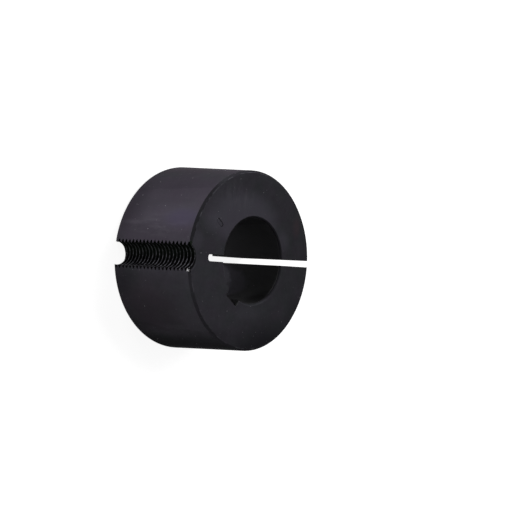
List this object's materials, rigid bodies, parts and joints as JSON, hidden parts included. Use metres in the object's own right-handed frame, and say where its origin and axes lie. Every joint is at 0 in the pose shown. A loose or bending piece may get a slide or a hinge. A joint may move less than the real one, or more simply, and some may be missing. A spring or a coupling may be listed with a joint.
{
  "type": "taper bush",
  "caption": "Split tapered bush that clamps a hub on a keyed shaft, with a threaded removal half hole and plain clamping half holes.",
  "frame": {"origin": "centre of the bore in the plane of the large end face, on which the bush stands", "axes": "+Z along the bore axis from the large end to the small end, +X towards the open side of the saw cut, -X towards the threaded half hole"},
  "size_m": [0.0852, 0.0856, 0.0445],
  "materials": {
    "black_phosphated_iron": "machined and black phosphated, satin"
  },
  "bodies": {
    "root": {"taper_bush": "black_phosphated_iron"}
  },
  "joints": []
}
